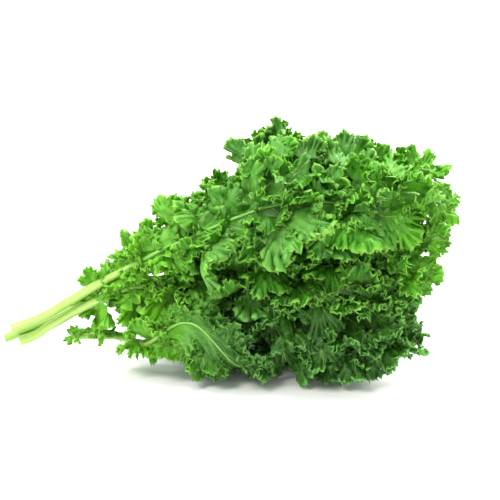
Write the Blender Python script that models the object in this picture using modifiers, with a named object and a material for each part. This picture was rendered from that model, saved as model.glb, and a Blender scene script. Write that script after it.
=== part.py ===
"""A bunch of curly kale, cut and lying on its side.

Metres, +Z up. +X runs from the cut stems to the leaf tips, -Y is the front.
Thirteen leaves lie round one axis, and each leaf is a pale stem with its midrib and a green frilled blade.

Every leaf is a sheet in the bunch's own round coordinates: a station along X, an angle round the axis
(0 towards the front, 90 up) and a share of the way out to the bunch's outline. The sheets keep to their
own angles and shares, so that no leaf crosses another.
"""

import math

import bmesh
import bpy
import numpy as np

# The bunch's outline. Stations run along X, and the other rows give the height of the axis, of the top
# and of the bottom of the bunch there, and its half depth, which spreads further near the floor.
STATIONS = (0.000, 0.040, 0.064, 0.090, 0.130, 0.164, 0.199, 0.226, 0.294, 0.345, 0.385)
AXIS_HEIGHT = (0.017, 0.032, 0.043, 0.054, 0.068, 0.077, 0.087, 0.092, 0.096, 0.101, 0.112)
TOP_HEIGHT = (0.030, 0.048, 0.066, 0.094, 0.131, 0.149, 0.174, 0.194, 0.180, 0.170, 0.146)
BOTTOM_HEIGHT = (0.004, 0.018, 0.022, 0.018, 0.008, 0.002, 0.000, 0.000, 0.000, 0.008, 0.040)
HALF_DEPTH = (0.013, 0.017, 0.026, 0.037, 0.058, 0.073, 0.084, 0.090, 0.092, 0.084, 0.060)
UPPER_SQUARENESS = 2.2
LOWER_SQUARENESS = 8.0
FOOT_SPREAD = 0.12
FOOT_RISE = 2.0

# Middle of the finished bunch's box in plan, which is put at the origin.
BOX_MIDDLE = (0.1872, 0.00116)

BLADE_THICKNESS = 0.0009
STEM_GAP = 0.0007
STEM_RADIUS = 0.0038
SHORT_STEM_SCALE = 0.8
STEM_TAPER = 0.55
RIB_RADIUS = 0.0010
PETIOLE_POINTS = 4
RIB_ENDS_BEFORE_TIP = 0.022

# One frill wave is four stations of the blade and one lobe of its edge.
FRILL_WAVE = 0.029
STATIONS_PER_WAVE = 4
FRILL_HEIGHT = 0.0105
LOBE_DEPTH = 0.26
FLAT_BY_RIB = 0.16
FOLDED_FRILL_GROWTH = 1.4
OPEN_FRILL_GROWTH = 1.8
FULL_RADIUS = 0.085
STRIPS_ACROSS = 6
FORWARD_SWEEP = 0.022
SWEEP_GROWTH = 1.5
WING_SHARE = 0.10
TIP_BLUNTNESS = 7
LEAFLET_HALF_LENGTH = 0.0075
BODY_RISE = 0.30

# Where a leaf's own angle and share change along its length.
PETIOLE_END = 0.085
BODY_START = 0.175
TIP_STRETCH = 0.085
BEND_END = 0.062
BEND_STRETCH = 0.042
NORMAL_STEP = 0.002


def leaf(name, stem_start, blade_start, tip, angle, share, spread, reach, opening=1.0, rise=2.0,
         rib_side=-1, leaflets=(), phase=0.0, tucked=None, bulge=0.0, bend=0.0,
         body_from=PETIOLE_END, stem_gap=STEM_GAP, rib_step=2):
    """One leaf of the bunch.

    angle and share give the midrib's place at the petiole, along the body and at the tip, spread the
    degrees from the midrib to the lower and the upper edge, and reach those edges' share of the outline.
    tucked is the station, the stretch and the depth of a place where its edges keep under another leaf.
    bulge is the share by which its frill stands out further than it dips in. bend is the degrees by which
    the cut end of its stem lies further down round the axis than its petiole. body_from is the station
    where the blade starts to widen from a narrow wing with leaflets into its body. stem_gap is the gap
    from blade to stem, and rib_step the blade stations from one point of the midrib to the next.
    """
    return {
        "name": name,
        "stem_start": stem_start,
        "blade_start": blade_start,
        "tip": tip,
        "angle": angle,
        "share": share,
        "spread": spread,
        "reach": reach,
        "opening": opening,
        "rise": rise,
        "rib_side": rib_side,
        "leaflets": leaflets,
        "phase": phase,
        "tucked": tucked,
        "bulge": bulge,
        "bend": bend,
        "body_from": body_from,
        "stem_gap": stem_gap,
        "rib_step": rib_step,
    }


LEAVES = (
    leaf("leaf_top_front", 0.010, 0.062, 0.376, (42, 42, 52), (0.76, 0.86, 0.92), (32, 46),
         (0.97, 0.99), rib_side=1, leaflets=((0.067, 0.60), (0.091, 0.9), (0.114, 0.8)), bulge=0.20),
    leaf("leaf_top", 0.000, 0.092, 0.357, (112, 107, 104), (0.50, 0.34, 0.70), (10, 11),
         (1.00, 1.00), opening=2.0),
    leaf("leaf_back_top", 0.098, 0.104, 0.366, (157, 156, 150), (0.80, 0.86, 0.90), (29, 28),
         (0.97, 0.98), rib_side=1, phase=0.9, bulge=0.20),
    leaf("leaf_back", 0.104, 0.112, 0.347, (202, 199, 194), (0.45, 0.34, 0.70), (10, 10),
         (0.99, 0.99), opening=2.0),
    leaf("leaf_back_low", 0.112, 0.120, 0.334, (230, 223, 216), (0.45, 0.34, 0.68), (10, 9),
         (0.98, 0.98), opening=2.0),
    leaf("leaf_floor", 0.106, 0.116, 0.336, (271, 271, 271), (0.70, 1.00, 0.98), (28, 15),
         (1.00, 1.00), rib_side=-1, phase=0.5),
    leaf("leaf_front_low", 0.112, 0.122, 0.344, (-70, -56, -50), (0.34, 0.34, 0.68), (10, 9),
         (0.98, 0.99), opening=2.0, tucked=(0.168, 0.048, 0.34)),
    leaf("leaf_front_middle", 0.108, 0.118, 0.338, (-33, -29, -26), (0.45, 0.36, 0.70), (9, 9),
         (0.99, 1.00), opening=2.0, tucked=(0.170, 0.056, 0.38)),
    leaf("leaf_front", 0.014, 0.080, 0.355, (24, -5, -8), (0.70, 0.34, 0.74), (9, 11),
         (1.00, 1.00), opening=2.0, leaflets=((0.090, 1.0), (0.116, 1.0)), bend=36,
         tucked=(0.100, 0.030, 0.18)),
    leaf("leaf_inner_front", 0.110, 0.120, 0.370, (20, 24, 16), (0.50, 0.34, 0.76), (10, 12),
         (0.74, 0.74), opening=2.0),
    leaf("leaf_inner_top", 0.116, 0.126, 0.362, (60, 58, 66), (0.50, 0.34, 0.62), (12, 12),
         (0.74, 0.74), opening=2.0),
    leaf("leaf_front_left", 0.057, 0.061, 0.222, (-62, -10, -52), (0.68, 0.80, 0.84), (20, 16),
         (0.88, 0.90), rib_side=1, leaflets=((0.066, 0.9), (0.086, 1.0), (0.105, 1.0)), phase=0.8,
         body_from=0.112, stem_gap=0.0020, rib_step=1),
    leaf("leaf_inner_back", 0.116, 0.126, 0.352, (160, 160, 160), (0.45, 0.34, 0.60), (12, 12),
         (0.72, 0.72), opening=2.0),
)


def smooth_row(x, stations, values):
    """Reads a row of the outline at x on a smooth curve through its values."""
    stations = np.asarray(stations, float)
    values = np.asarray(values, float)
    slopes = np.gradient(values, stations)
    x = np.clip(x, stations[0], stations[-1])
    index = np.clip(np.searchsorted(stations, x) - 1, 0, len(stations) - 2)
    width = stations[index + 1] - stations[index]
    t = (x - stations[index]) / width
    low = values[index] * (1 + 2 * t) * (1 - t) ** 2 + slopes[index] * width * t * (1 - t) ** 2
    high = values[index + 1] * t * t * (3 - 2 * t) + slopes[index + 1] * width * t * t * (t - 1)
    return low + high


def outline_radius(x, angle):
    """Distance from the axis to the bunch's outline at station x, in the direction of the angle."""
    axis = smooth_row(x, STATIONS, AXIS_HEIGHT)
    upward = np.sin(angle) > 0
    height = np.where(
        upward,
        smooth_row(x, STATIONS, TOP_HEIGHT) - axis,
        axis - smooth_row(x, STATIONS, BOTTOM_HEIGHT),
    )
    depth = smooth_row(x, STATIONS, HALF_DEPTH) * (1 + FOOT_SPREAD * smooth_step(-FOOT_RISE * np.sin(angle)))
    power = np.where(upward, UPPER_SQUARENESS, LOWER_SQUARENESS)
    total = (np.abs(np.cos(angle)) / depth) ** power + (np.abs(np.sin(angle)) / height) ** power
    return total ** (-1 / power)


def smooth_step(value):
    value = np.clip(value, 0, 1)
    return value * value * (3 - 2 * value)


def along_leaf(values, x, tip):
    """A leaf's own angle or share at station x, from its values at the petiole, the body and the tip."""
    base, body, end = values
    opened = base + (body - base) * smooth_step((x - PETIOLE_END) / (BODY_START - PETIOLE_END))
    return opened + (end - opened) * smooth_step((x - tip + TIP_STRETCH) / TIP_STRETCH)


def sheet_point(row, x, across):
    """Point of a leaf's smooth sheet at station x, and across from -1, its lower edge, to 1."""
    share_across = np.abs(across)
    lower, upper = row["spread"]
    turn = np.where(across < 0, -lower, upper) * (1 - (1 - share_across) ** row["opening"])
    bend = row["bend"] * smooth_step((BEND_END - x) / BEND_STRETCH)
    angle = np.radians(along_leaf(row["angle"], x, row["tip"]) + turn - bend)
    middle = along_leaf(row["share"], x, row["tip"])
    edge = np.where(across < 0, row["reach"][0], row["reach"][1])
    if row["tucked"]:
        place, stretch, depth = row["tucked"]
        edge = edge - depth * np.exp(-((x - place) / stretch) ** 4)
    share = middle + (edge - middle) * share_across ** row["rise"]
    distance = share * outline_radius(x, angle)
    height = smooth_row(x, STATIONS, AXIS_HEIGHT) + distance * np.sin(angle)
    return np.stack([x, -distance * np.cos(angle), height], axis=-1)


def sheet_normal(row, x, across):
    """Unit normal of the sheet, which points outwards at the midrib."""
    step = NORMAL_STEP
    along = sheet_point(row, x + step, across) - sheet_point(row, x - step, across)
    sideways = sheet_point(row, x, across + step) - sheet_point(row, x, across - step)
    normal = np.cross(along, sideways)
    return normal / np.linalg.norm(normal, axis=-1, keepdims=True)


def blade_share(row, station):
    """Share of its sheet that the blade takes up at a station: leaflets, then the body, then the tip."""
    t = (station - row["blade_start"]) / (row["tip"] - row["blade_start"])
    body_start = max(row["blade_start"], row["body_from"])
    rise = smooth_step((station - body_start) / (BODY_RISE * (row["tip"] - body_start)))
    body = rise * (1 - np.clip(t, 0, 1) ** TIP_BLUNTNESS) ** 0.5
    share = np.maximum(body, WING_SHARE)
    for place, size in row["leaflets"]:
        share = np.maximum(share, size * np.exp(-((station - place) / LEAFLET_HALF_LENGTH) ** 2))
    return share


def frill(row, station, across):
    """Height of the frill above the sheet. It grows from the midrib to the edge.

    The two halves of a folded leaf face opposite ways, so their waves are turned to go round the axis
    together, and the frills of neighbours then lie in each other.
    """
    folded = row["opening"] > 1
    side = np.where(across < 0, 0.5, 0.0) if folded else np.where(across < 0, 0.3, 0.0)
    wave = row["bulge"] + np.sin(2 * math.pi * (station / FRILL_WAVE + row["phase"] + side))
    size = outline_radius(station, np.radians(along_leaf(row["angle"], station, row["tip"])))
    outward = np.clip((np.abs(across) - FLAT_BY_RIB) / (1 - FLAT_BY_RIB), 0, 1)
    growth = outward ** (FOLDED_FRILL_GROWTH if folded else OPEN_FRILL_GROWTH)
    return FRILL_HEIGHT * (1 + row["bulge"]) * wave * growth * np.clip(size / FULL_RADIUS, 0, 1)


def blade_points(row, station, part):
    """Points of a blade's middle surface: stations along the leaf, and parts from edge to edge."""
    wave = station / FRILL_WAVE + row["phase"] + np.where(part < 0, 0.5, 0.0)
    lobe = 1 - LOBE_DEPTH * (0.5 - 0.5 * np.sin(2 * math.pi * wave)) * np.abs(part)
    across = part * blade_share(row, station) * lobe
    x = station + FORWARD_SWEEP * np.abs(across) ** SWEEP_GROWTH
    points = sheet_point(row, x, across)
    points = points + sheet_normal(row, x, across) * frill(row, station, across)[..., None]
    points[..., 2] = np.maximum(points[..., 2], BLADE_THICKNESS / 2)
    return points


def new_object(name, data, material, collection, parent):
    data.materials.append(material)
    made = bpy.data.objects.new(name, data)
    collection.objects.link(made)
    made.parent = parent
    return made


def blade_stations(row):
    """First station of a blade's grid, the step between stations and the number of steps."""
    step = FRILL_WAVE / STATIONS_PER_WAVE
    first = row["blade_start"] - (row["blade_start"] + row["phase"] * FRILL_WAVE) % step
    return first, step, int(round((row["tip"] - row["blade_start"]) / step))


def make_blade(row, material, collection, parent):
    """The frilled blade: a grid laid on the leaf's sheet, cut in triangles and given its thickness."""
    first, step, along = blade_stations(row)
    mesh = bpy.data.meshes.new(row["name"] + "_blade")
    shape = bmesh.new()
    bmesh.ops.create_grid(shape, x_segments=along, y_segments=STRIPS_ACROSS, size=1.0)
    places = np.array([vertex.co[:] for vertex in shape.verts])
    station = first + (places[:, 0] + 1) / 2 * along * step
    points = blade_points(row, station, places[:, 1])
    for vertex, point in zip(shape.verts, points):
        vertex.co = point
    bmesh.ops.triangulate(shape, faces=shape.faces, quad_method="FIXED")
    shape.to_mesh(mesh)
    shape.free()
    mesh.shade_smooth()
    blade = new_object(mesh.name, mesh, material, collection, parent)
    thickness = blade.modifiers.new("Thickness", "SOLIDIFY")
    thickness.thickness = BLADE_THICKNESS
    thickness.offset = 0.0


def stem_radius(row, x):
    """Radius of the stem: full in the petiole, then thinning into the midrib."""
    end = row["tip"] - RIB_ENDS_BEFORE_TIP
    t = np.clip((x - PETIOLE_END) / (end - PETIOLE_END), 0, 1)
    scale = 1.0 if row["stem_start"] < PETIOLE_END else SHORT_STEM_SCALE
    return (STEM_RADIUS + (RIB_RADIUS - STEM_RADIUS) * t ** STEM_TAPER) * scale


def make_stem(row, material, collection, parent):
    """The stem and midrib: one tapering round rod just off the blade's middle line."""
    first, step, along = blade_stations(row)
    petiole = np.linspace(row["stem_start"], first, PETIOLE_POINTS)[:-1]
    rib = first + step * np.arange(0, along, row["rib_step"])
    x = np.concatenate([petiole, rib[rib < row["tip"] - RIB_ENDS_BEFORE_TIP]])
    middle = np.zeros_like(x)
    radius = stem_radius(row, x)
    away = radius + BLADE_THICKNESS / 2 + row["stem_gap"]
    points = sheet_point(row, x, middle)
    points[:, 2] = np.maximum(points[:, 2], BLADE_THICKNESS / 2)
    points = points + row["rib_side"] * away[:, None] * sheet_normal(row, x, middle)
    curve = bpy.data.curves.new(row["name"] + "_stem", "CURVE")
    curve.dimensions = "3D"
    curve.bevel_depth = STEM_RADIUS
    curve.bevel_resolution = 2
    curve.use_fill_caps = True
    spline = curve.splines.new("POLY")
    spline.points.add(len(points) - 1)
    for point, place, size in zip(spline.points, points, radius):
        point.co = (*place, 1)
        point.radius = size / STEM_RADIUS
    new_object(curve.name, curve, material, collection, parent)


def make_material(name, colour, roughness):
    material = bpy.data.materials.new(name)
    material.use_nodes = True
    shader = material.node_tree.nodes["Principled BSDF"]
    shader.inputs["Base Color"].default_value = (*colour, 1)
    shader.inputs["Roughness"].default_value = roughness
    shader.inputs["Metallic"].default_value = 0.0
    return material


def main():
    for old in list(bpy.data.objects):
        bpy.data.objects.remove(old)
    bunch = bpy.data.collections.new("kale_bunch")
    bpy.context.scene.collection.children.link(bunch)
    origin = bpy.data.objects.new("bunch_origin", None)
    origin.location = (-BOX_MIDDLE[0], -BOX_MIDDLE[1], 0)
    bunch.objects.link(origin)
    for number, row in enumerate(LEAVES):
        green = 0.16 + 0.02 * (number % 3)
        blade = make_material(row["name"] + "_blade", (0.05, green, 0.02), 0.5)
        stem = make_material(row["name"] + "_stem", (0.45, 0.60, 0.22), 0.4)
        make_blade(row, blade, bunch, origin)
        make_stem(row, stem, bunch, origin)


main()
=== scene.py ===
"""Looks of a bunch of curly kale, cut and lying on its side, seen from the front and a little above.

Metres, +Z up. +X runs from the cut stems to the leaf tips, -Y is the front.
Every leaf follows the same sheet in the bunch's round coordinates as its solids do, with finer frills,
and each leaf is two pieces: a frilled blade, and a stem that runs on as the midrib.
"""

import math
from functools import partialmethod

import bmesh
import bpy
import numpy as np
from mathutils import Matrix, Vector

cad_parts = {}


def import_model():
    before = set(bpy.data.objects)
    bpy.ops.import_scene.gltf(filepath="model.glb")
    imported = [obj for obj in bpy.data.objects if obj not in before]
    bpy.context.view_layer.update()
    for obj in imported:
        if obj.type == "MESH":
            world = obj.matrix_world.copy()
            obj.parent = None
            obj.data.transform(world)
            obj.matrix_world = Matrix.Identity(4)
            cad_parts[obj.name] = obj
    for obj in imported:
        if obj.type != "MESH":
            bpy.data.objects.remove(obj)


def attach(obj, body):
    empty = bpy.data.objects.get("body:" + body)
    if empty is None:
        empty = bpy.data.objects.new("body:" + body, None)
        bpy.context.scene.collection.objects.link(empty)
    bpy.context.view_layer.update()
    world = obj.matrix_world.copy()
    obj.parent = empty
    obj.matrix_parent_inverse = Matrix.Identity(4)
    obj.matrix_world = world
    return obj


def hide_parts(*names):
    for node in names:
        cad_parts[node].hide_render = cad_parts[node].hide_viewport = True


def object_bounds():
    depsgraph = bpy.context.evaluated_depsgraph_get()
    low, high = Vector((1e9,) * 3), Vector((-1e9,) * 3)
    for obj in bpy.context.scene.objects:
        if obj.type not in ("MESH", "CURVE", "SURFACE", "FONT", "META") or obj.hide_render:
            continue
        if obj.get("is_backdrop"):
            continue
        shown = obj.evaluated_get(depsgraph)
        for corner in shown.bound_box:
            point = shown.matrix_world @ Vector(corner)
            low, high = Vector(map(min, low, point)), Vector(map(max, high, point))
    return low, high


# The bunch's outline: stations along X, then the height of the axis, of the top and of the bottom of the
# bunch there, and its half depth, which spreads further near the floor.
STATIONS = (0.000, 0.040, 0.064, 0.090, 0.130, 0.164, 0.199, 0.226, 0.294, 0.345, 0.385)
AXIS_HEIGHT = (0.017, 0.032, 0.043, 0.054, 0.068, 0.077, 0.087, 0.092, 0.096, 0.101, 0.112)
TOP_HEIGHT = (0.030, 0.048, 0.066, 0.094, 0.131, 0.149, 0.174, 0.194, 0.180, 0.170, 0.146)
BOTTOM_HEIGHT = (0.004, 0.018, 0.022, 0.018, 0.008, 0.002, 0.000, 0.000, 0.000, 0.008, 0.040)
HALF_DEPTH = (0.013, 0.017, 0.026, 0.037, 0.058, 0.073, 0.084, 0.090, 0.092, 0.084, 0.060)
UPPER_SQUARENESS = 2.2
LOWER_SQUARENESS = 8.0
FOOT_SPREAD = 0.12
FOOT_RISE = 2.0

# Middle of the bunch's box in plan, which lies at the origin.
BOX_OFFSET = np.array([0.1872, 0.00116, 0.0])

BLADE_THICKNESS = 0.0006
RIM_THINNING = 0.45
SOLID_BLADE_THICKNESS = 0.0009
STEM_RADIUS = 0.0038
SHORT_STEM_SCALE = 0.8
STEM_TAPER = 0.55
RIB_RADIUS = 0.0010
RIB_ENDS_BEFORE_TIP = 0.022
STEM_RINGS = 96
STEM_SIDES = 16
STEM_TURN = np.linspace(0, math.tau, STEM_SIDES, endpoint=False)
CUT_FLARE = 0.10
CUT_FLARE_LENGTH = 0.012
CUT_INNER_SHARE = 0.55
CUT_DIP = 0.0006
TIP_DIP = 0.0003
SINK_LENGTH = 0.05
SUNK_THINNING = 0.38
LOWEST_STEM_POINT = 0.0003

FRILL_WAVE = 0.029
STATIONS_PER_WAVE = 4
FRILL_HEIGHT = 0.0105
LOBE_DEPTH = 0.26
FLAT_BY_RIB = 0.16
FORWARD_SWEEP = 0.022
SWEEP_GROWTH = 1.5
WING_SHARE = 0.05
TIP_BLUNTNESS = 7
EDGE_RISE = 2.0
LEAFLET_HALF_LENGTH = 0.0075

PETIOLE_END = 0.085
BODY_START = 0.175
TIP_STRETCH = 0.085
BEND_END = 0.062
BEND_STRETCH = 0.042

# Finer frills, each set on the one before: wave length along the edge, height, and the share of the half
# width where it starts. Puckers and blisters lie between the veins, and teeth stand on the rim.
CURL_WAVE = 0.0086
CURL_HEIGHT = 0.0031
CURL_FROM = 0.50
CRIMP_WAVE = 0.0050
CRIMP_HEIGHT = 0.0018
CRIMP_FROM = 0.70
PUCKER_WAVE = 0.0095
PUCKER_HEIGHT = 0.0022
BLISTER_LENGTH = 0.0115
BLISTER_WIDTH = 0.0088
BLISTER_HEIGHT = 0.0015
TOOTH_WAVE = 0.0066
TOOTH_LENGTH = 0.0030
TOOTH_FROM = 0.72

# Rows from the midrib or a lobe's root to the rim: the share where each band ends, its rows, and how many
# fine stations one of its steps takes. A blade of LAMINA_LENGTH has LAMINA_STATIONS of them.
LAMINA_BANDS = ((0.45, 4, 4), (0.80, 4, 2), (1.00, 3, 1))
LOBE_BANDS = ((0.40, 2, 4), (0.70, 3, 2), (1.00, 4, 1))
LAMINA_STATIONS = 208
LAMINA_SHARE = 0.60
LAMINA_LENGTH = 0.26

# The inner part: knots and size of the random changes of its edge and curls, where its puckers and curls
# begin, how both vary along it, and its pale patches.
EDGE_CHANGE = (0.006, 0.16)
CURL_CHANGE = (0.016, 0.45)
CURL_WALK = (0.012, 1.1)
FRILL_POWER = 1.2
FULL_FRILL_RADIUS = 0.085
FULL_CURL_SHARE = 0.5
LEAST_CURL = 0.12
LAMINA_CURL_FROM = 0.35
LAMINA_CURL_SCALE = 0.8
PUCKER_FROM = 0.3
PUCKER_SLANT = 0.5
PUCKER_CHANGE = 0.031
SHADE_WAVES = (0.023, 0.011)
SHADE_CHANGE = 0.16
VEIN_SPREAD = 0.062
PALE_END_LENGTH = 0.085
PALE_END_BLEND = 0.015
PALE_END_SHADE = 0.92

# The fan-shaped lobes that make up the outer part of a blade. Each is split into rounded parts, which stand
# up and hang down by turns.
LOBE_PITCH = 0.0240
LOBE_LENGTH = 0.032
LOBE_SPREAD = math.radians(82)
LOBE_ROOT = 0.10
FURTHEST_OUT = 1.04
LOBE_CUT = 0.44
LOBE_FLAT = 0.36
LOBE_WAVE_HEIGHT = 0.20
LOBE_CORNER_CUT = 0.22
LOBE_LEAN = 0.05
LOBE_LIFT = 0.45
LOBE_VEIN_SPREAD = 3.0
TIP_LOBES_PAST = 0.004
TIP_LOBE_LENGTH = 0.020
SHORTEST_TIP_LOBE = 0.011
LOBE_COLUMNS = 116
BACK_LOBE_COLUMNS = 80
HIDDEN_LOBE_COLUMNS = 44
FEWEST_COLUMNS = 32
MOST_COLUMNS_SCALE = 1.4

# Shorter lobes that stand up from the face of a blade that lies open, beside its midrib.
FACE_LOBE_PITCH = 0.018
FACE_LOBE_LENGTH = 0.023
FACE_COLUMN_SHARE = 0.72

# Lobes placed one by one: most stand out in the photograph, and those of leaf_floor and leaf_inner_back
# fill the inside. Each row gives the station, the side, the share of the half width where it is rooted, its
# length, its sweep, tilt and roll in degrees, and its shade.
ACCENT_LOBES = {
    "leaf_top": (
        (0.203, 1, 0.82, 0.031, 0, 22, 24, 0.35), (0.220, -1, 0.84, 0.030, 10, -18, -20, 0.25),
        (0.258, 1, 0.86, 0.028, 5, 16, 22, 0.30), (0.273, -1, 0.86, 0.029, 8, -14, -18, 0.45),
        (0.290, 1, 0.86, 0.026, 10, 18, 20, 0.20), (0.304, -1, 0.86, 0.022, 12, -12, -16, 0.40),
        (0.126, 1, 0.60, 0.022, -10, 8, 14, 0.70), (0.164, 1, 0.84, 0.019, -4, 14, 18, 0.45),
        (0.322, 1, 0.84, 0.022, 24, 12, 14, 0.35), (0.144, -1, 0.82, 0.028, -8, -10, -14, 0.55),
        (0.194, -1, 0.84, 0.025, 2, -18, 16, 0.50),
    ),
    "leaf_top_front": (
        (0.334, 1, 0.72, 0.023, 36, 10, 8, 0.55), (0.082, 1, 0.10, 0.017, 10, 25, 10, 0.60),
        (0.138, 1, 0.80, 0.024, -8, 50, -12, 0.75), (0.230, -1, 0.22, 0.044, 20, 24, 8, 0.88),
        (0.286, -1, 0.24, 0.036, 22, 26, -12, 0.74), (0.166, -1, 0.45, 0.030, 35, 48, 10, 0.96),
        (0.226, 1, 0.03, 0.022, 10, 84, 12, 0.40), (0.246, -1, 0.03, 0.024, 15, 96, -10, 0.50),
        (0.264, 1, 0.04, 0.022, 5, 88, 14, 0.30), (0.282, -1, 0.03, 0.021, 20, 92, -8, 0.60),
    ),
    "leaf_front": (
        (0.102, -1, 0.20, 0.026, 5, -50, 10, 0.60), (0.081, -1, 0.08, 0.025, -12, -62, 12, 0.25),
        (0.090, -1, 0.12, 0.029, 0, -72, -10, 0.35), (0.116, -1, 0.30, 0.034, 0, -66, -8, 0.45),
        (0.131, -1, 0.32, 0.038, 5, -72, 6, 0.62), (0.146, -1, 0.34, 0.036, 0, -64, -6, 0.50),
    ),
    "leaf_front_left": (
        (0.066, 1, 0.10, 0.017, -64, 30, 10, 0.25), (0.116, 1, 0.50, 0.022, 15, 20, 5, 0.60),
        (0.124, 1, 0.70, 0.024, 5, 12, -5, 0.40),
    ),
    "leaf_floor": (
        (0.172, 1, 0.20, 0.050, 10, -80, 65, 0.40), (0.215, -1, 0.20, 0.056, 10, -95, -60, 0.30),
        (0.262, 1, 0.15, 0.058, 15, -85, 70, 0.50), (0.302, -1, 0.20, 0.056, 20, -90, -65, 0.35),
    ),
    "leaf_inner_back": (
        (0.200, 1, 0.15, 0.054, 5, -80, 60, 0.40), (0.250, 1, 0.15, 0.056, 5, -95, -60, 0.30),
        (0.300, 1, 0.15, 0.056, 15, -85, -60, 0.50),
    ),
}


def leaf(name, stem_start, blade_start, tip, angle, share, spread, reach, opening=1.0,
         rib_side=-1, leaflets=(), phase=0.0, tucked=None, bulge=0.0, bend=0.0, body_from=PETIOLE_END,
         columns=LOBE_COLUMNS, lobe_scale=1.0, lobe_overlap=0.92, tilt=(8, 42), lamina_share=LAMINA_SHARE,
         shade=0.5, look="fresh"):
    """One leaf of the bunch, as a dict of these values.

    angle and share place the midrib at the petiole, along the body and at the tip. spread is the degrees
    from it to the lower and the upper edge, and reach those edges' share of the outline. tucked is the
    station, the stretch and the depth of a place where the edges keep under another leaf. bulge is the share
    by which the frill stands out further than it dips in, and bend the degrees by which the cut end lies
    further down round the axis than the petiole. body_from is the station where the blade widens from a
    narrow wing with leaflets into its body. columns is the number of quads along the rim of its longest
    lobes, lobe_scale their size, lobe_overlap the share of a lobe inside the sheet's edge, and tilt the
    degrees that lobes leave the sheet by. lamina_share is the part of the half width that the flatter inner
    part takes, and shade its colour, from 0, deep green, to 1, the pale grey-green of an underside.
    """
    return dict(locals())


LEAVES = (
    leaf("leaf_top_front", 0.010, 0.062, 0.376, (42, 42, 52), (0.76, 0.86, 0.92), (32, 46),
         (0.97, 0.99), rib_side=1, leaflets=((0.075, 0.42), (0.093, 0.85), (0.114, 0.8)), bulge=0.20),
    leaf("leaf_top", 0.000, 0.092, 0.357, (112, 107, 104), (0.50, 0.34, 0.70), (10, 11),
         (1.00, 1.00), opening=2.0, look="deep"),
    leaf("leaf_back_top", 0.098, 0.104, 0.366, (157, 156, 150), (0.80, 0.86, 0.90), (29, 28),
         (0.97, 0.98), rib_side=1, phase=0.9, bulge=0.20, columns=BACK_LOBE_COLUMNS, look="glaucous"),
    leaf("leaf_back", 0.104, 0.112, 0.347, (202, 199, 194), (0.45, 0.34, 0.70), (10, 10),
         (0.99, 0.99), opening=2.0, columns=BACK_LOBE_COLUMNS),
    leaf("leaf_back_low", 0.112, 0.120, 0.334, (230, 223, 216), (0.45, 0.34, 0.68), (10, 9),
         (0.98, 0.98), opening=2.0, columns=BACK_LOBE_COLUMNS, look="deep"),
    leaf("leaf_floor", 0.106, 0.116, 0.336, (271, 271, 271), (0.70, 1.00, 0.98), (28, 15),
         (1.00, 1.00), phase=0.5, columns=HIDDEN_LOBE_COLUMNS, look="deep"),
    leaf("leaf_front_low", 0.112, 0.122, 0.344, (-70, -56, -50), (0.34, 0.34, 0.68), (10, 9),
         (0.98, 0.99), opening=2.0, lobe_scale=0.70, lobe_overlap=0.78, lamina_share=0.76,
         tucked=(0.168, 0.048, 0.34), look="glaucous"),
    leaf("leaf_front_middle", 0.108, 0.118, 0.338, (-33, -29, -26), (0.45, 0.36, 0.70), (9, 9),
         (0.99, 1.00), opening=2.0, lobe_scale=0.70, lamina_share=0.78, tucked=(0.170, 0.056, 0.38),
         look="deep"),
    leaf("leaf_front", 0.014, 0.080, 0.355, (24, -5, -8), (0.70, 0.34, 0.74), (9, 11),
         (1.00, 1.00), opening=2.0, leaflets=((0.090, 1.0), (0.116, 1.0)), bend=36,
         tucked=(0.100, 0.030, 0.18)),
    leaf("leaf_inner_front", 0.110, 0.120, 0.370, (20, 24, 16), (0.50, 0.34, 0.76), (10, 12),
         (0.74, 0.74), opening=2.0, lobe_scale=0.84, lamina_share=0.70),
    leaf("leaf_inner_top", 0.116, 0.126, 0.362, (60, 58, 66), (0.50, 0.34, 0.62), (12, 12),
         (0.74, 0.74), opening=2.0, columns=HIDDEN_LOBE_COLUMNS, look="deep"),
    leaf("leaf_front_left", 0.057, 0.061, 0.222, (-62, -10, -52), (0.68, 0.80, 0.84), (20, 16),
         (0.88, 0.90), rib_side=1, leaflets=((0.062, 0.7), (0.086, 0.9), (0.103, 0.3)), phase=0.8,
         body_from=0.112, lobe_scale=0.50, lobe_overlap=0.80, tilt=(0, 25), lamina_share=0.86, shade=0.82),
    leaf("leaf_inner_back", 0.116, 0.126, 0.352, (160, 160, 160), (0.45, 0.34, 0.60), (12, 12),
         (0.72, 0.72), opening=2.0, columns=HIDDEN_LOBE_COLUMNS),
)


def smooth_row(x, stations, values):
    """Reads a row of the outline at x on a smooth curve through its values."""
    stations = np.asarray(stations, float)
    values = np.asarray(values, float)
    slopes = np.gradient(values, stations)
    x = np.clip(x, stations[0], stations[-1])
    index = np.clip(np.searchsorted(stations, x) - 1, 0, len(stations) - 2)
    width = stations[index + 1] - stations[index]
    t = (x - stations[index]) / width
    low = values[index] * (1 + 2 * t) * (1 - t) ** 2 + slopes[index] * width * t * (1 - t) ** 2
    high = values[index + 1] * t * t * (3 - 2 * t) + slopes[index + 1] * width * t * t * (t - 1)
    return low + high


def outline_radius(x, angle):
    """Distance from the axis to the bunch's outline at station x, in the direction of the angle."""
    axis = smooth_row(x, STATIONS, AXIS_HEIGHT)
    upward = np.sin(angle) > 0
    height = np.where(
        upward,
        smooth_row(x, STATIONS, TOP_HEIGHT) - axis,
        axis - smooth_row(x, STATIONS, BOTTOM_HEIGHT),
    )
    depth = smooth_row(x, STATIONS, HALF_DEPTH) * (1 + FOOT_SPREAD * smooth_step(-FOOT_RISE * np.sin(angle)))
    power = np.where(upward, UPPER_SQUARENESS, LOWER_SQUARENESS)
    total = (np.abs(np.cos(angle)) / depth) ** power + (np.abs(np.sin(angle)) / height) ** power
    return total ** (-1 / power)


def smooth_step(value):
    value = np.clip(value, 0, 1)
    return value * value * (3 - 2 * value)


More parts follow.
